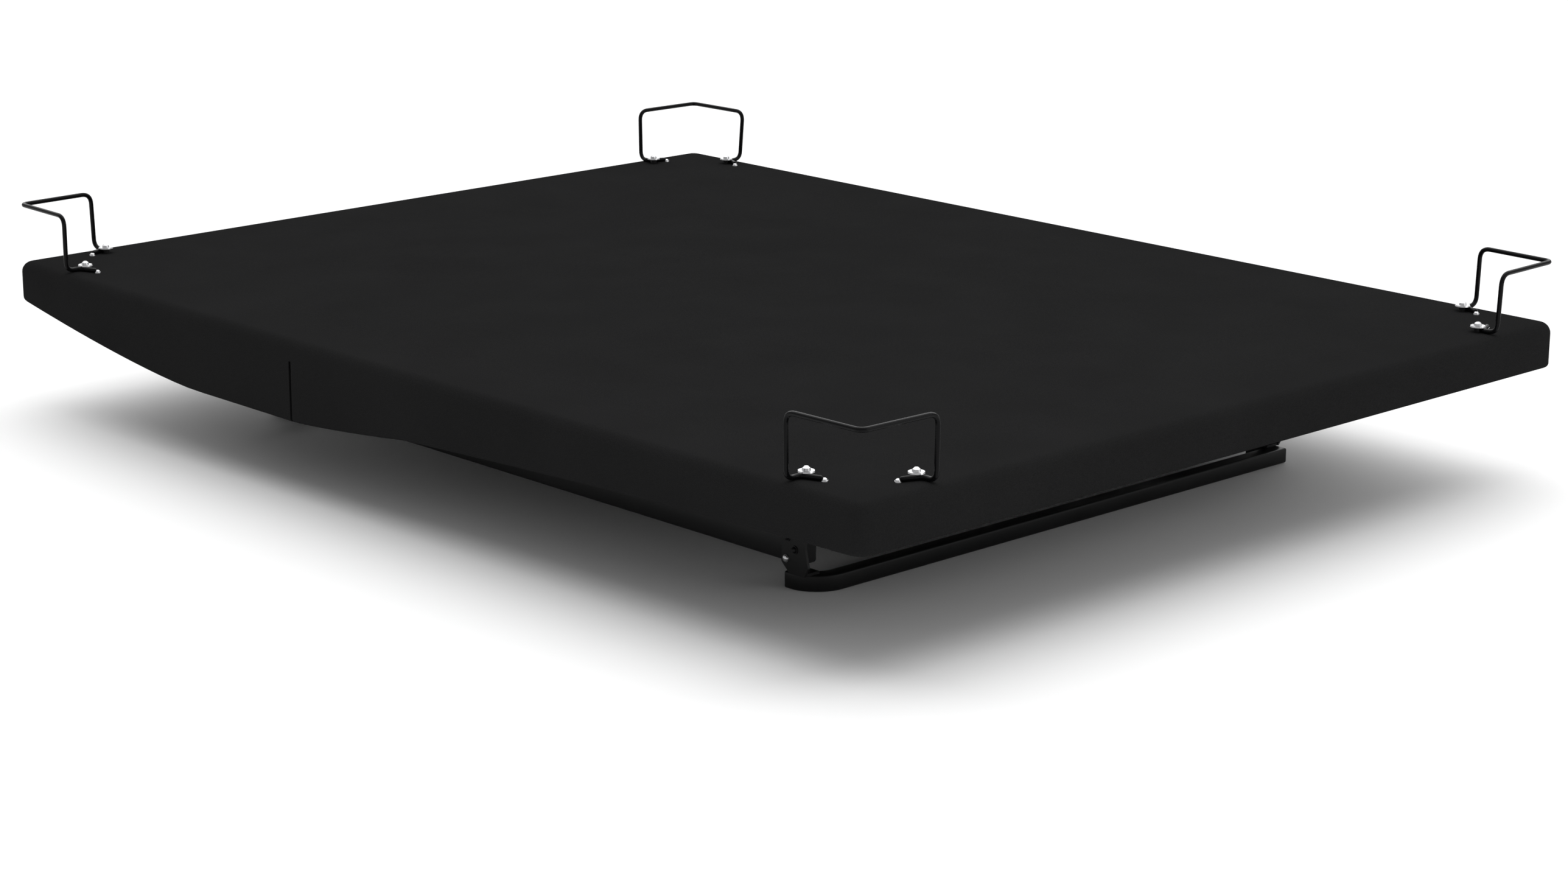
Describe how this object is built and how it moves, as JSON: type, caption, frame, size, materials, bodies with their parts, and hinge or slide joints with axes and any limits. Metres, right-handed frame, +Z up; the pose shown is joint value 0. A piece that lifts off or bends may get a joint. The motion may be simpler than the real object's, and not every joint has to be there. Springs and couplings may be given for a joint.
{
  "type": "adjustable bed base",
  "caption": "Flat upholstered bed deck in hinged head, seat, thigh and calf sections on a low steel frame, with wire corner retainers and two lift motors.",
  "frame": {"origin": "on the floor, under the middle of the deck", "axes": "+Z up, +Y from the foot end to the head end, +X across the bed"},
  "size_m": [1.524, 2.007, 0.3492],
  "materials": {
    "fabric": "matte woven cover",
    "board": "black-stained board",
    "steel": "satin powder coat",
    "wire": "gloss enamel",
    "zinc": "bright zinc plate",
    "plastic": "moulded",
    "motor": "satin paint",
    "rod": "polished",
    "nylon": "natural"
  },
  "bodies": {
    "root": {"seat_pad": "fabric", "seat_board": "board", "seat_side_board_left": "board", "seat_side_board_right": "board", "seat_hinge_leaf_head": "steel", "seat_hinge_leaf_thigh": "steel", "foot_end_bar": "steel", "head_end_bar": "steel", "base_rail_left": "steel", "base_rail_right": "steel", "corner_bracket_foot_left": "steel", "corner_bracket_foot_right": "steel", "corner_bracket_head_left": "steel", "corner_bracket_head_right": "steel", "centre_plate_left": "steel", "centre_plate_right": "steel", "head_motor_crossmember": "steel", "foot_motor_crossmember": "steel", "head_actuator_pin": "zinc", "foot_actuator_pin": "zinc", "control_box": "plastic", "power_inlet": "plastic"},
    "head": {"head_pad": "fabric", "head_board": "board", "head_side_board_left": "board", "head_side_board_right": "board", "head_end_board": "board", "head_hinge_leaf": "steel", "head_wear_plate": "steel", "head_retainer_left": "wire", "head_retainer_right": "wire"},
    "thigh": {"thigh_pad": "fabric", "thigh_board": "board", "thigh_side_board_left": "board", "thigh_side_board_right": "board", "thigh_hinge_leaf": "steel", "knee_hinge_leaf": "steel", "thigh_wear_plate": "steel"},
    "calf": {"calf_pad": "fabric", "calf_board": "board", "calf_side_board_left": "board", "calf_side_board_right": "board", "calf_end_board": "board", "calf_hinge_leaf": "steel", "foot_retainer_left": "wire", "foot_retainer_right": "wire"},
    "head_lift": {"head_lift_frame": "steel"},
    "head_lift_roller": {"head_roller": "nylon"},
    "foot_lift": {"foot_lift_frame": "steel"},
    "foot_lift_roller": {"foot_roller": "nylon"},
    "head_actuator": {"head_gearbox": "plastic", "head_motor": "motor"},
    "head_rod": {"head_actuator_rod": "rod"},
    "foot_actuator": {"foot_gearbox": "plastic", "foot_motor": "motor"},
    "foot_rod": {"foot_actuator_rod": "rod"},
    "calf_link": {"calf_link_frame": "steel"}
  },
  "joints": [
    {"name": "head_tilt", "type": "hinge", "parent": "root", "child": "head", "pos_m": [0, 0.2285, 0.2], "axis": [1, 0, 0], "range_deg": [0, 60]},
    {"name": "thigh_tilt", "type": "hinge", "parent": "root", "child": "thigh", "pos_m": [0, -0.0465, 0.2], "axis": [-1, 0, 0], "range_deg": [0, 35]},
    {"name": "calf_tilt", "type": "hinge", "parent": "thigh", "child": "calf", "pos_m": [0, -0.4465, 0.2], "axis": [1, 0, 0], "range_deg": [0, 45.6]},
    {"name": "head_lift_turn", "type": "hinge", "parent": "root", "child": "head_lift", "pos_m": [0, 0.2165, 0.15], "axis": [1, 0, 0], "range_deg": [0, 53.9]},
    {"name": "foot_lift_turn", "type": "hinge", "parent": "root", "child": "foot_lift", "pos_m": [0, -0.0345, 0.15], "axis": [-1, 0, 0], "range_deg": [0, 32]},
    {"name": "head_actuator_pivot", "type": "hinge", "parent": "root", "child": "head_actuator", "pos_m": [0, -0.16799, 0.075], "axis": [1, 0, 0], "range_deg": [-2.8, 0]},
    {"name": "foot_actuator_pivot", "type": "hinge", "parent": "root", "child": "foot_actuator", "pos_m": [0, 0.338, 0.075], "axis": [-1, 0, 0], "range_deg": [-1.8, 0]},
    {"name": "head_rod_slide", "type": "slide", "parent": "head_actuator", "child": "head_rod", "axis": [0, 0.9996, 0.03], "range_m": [0, 0.075]},
    {"name": "foot_rod_slide", "type": "slide", "parent": "foot_actuator", "child": "foot_rod", "axis": [0, -1, 0.0042], "range_m": [0, 0.0456]},
    {"name": "calf_link_turn", "type": "hinge", "parent": "root", "child": "calf_link", "pos_m": [0, -0.1102, 0.1199], "axis": [-1, 0, 0], "range_deg": [0, 35.6]},
    {"name": "head_roller_spin", "type": "hinge", "parent": "head_lift", "child": "head_lift_roller", "pos_m": [0, 0.5445, 0.1863], "axis": [1, 0, 0], "continuous": true},
    {"name": "foot_roller_spin", "type": "hinge", "parent": "foot_lift", "child": "foot_lift_roller", "pos_m": [0, -0.3323, 0.1863], "axis": [1, 0, 0], "continuous": true}
  ],
  "couplings": [
    {"joint": "head_lift_turn", "follows": "head_tilt", "ratio": 0.89737},
    {"joint": "head_actuator_pivot", "follows": "head_tilt", "ratio": -0.046376},
    {"joint": "head_rod_slide", "follows": "head_tilt", "m_per_rad": 0.07152},
    {"joint": "calf_tilt", "follows": "thigh_tilt", "ratio": 1.3},
    {"joint": "foot_lift_turn", "follows": "thigh_tilt", "ratio": 0.9127},
    {"joint": "foot_actuator_pivot", "follows": "thigh_tilt", "ratio": -0.050271},
    {"joint": "foot_rod_slide", "follows": "thigh_tilt", "m_per_rad": 0.074506},
    {"joint": "calf_link_turn", "follows": "thigh_tilt", "ratio": 1.0145}
  ]
}
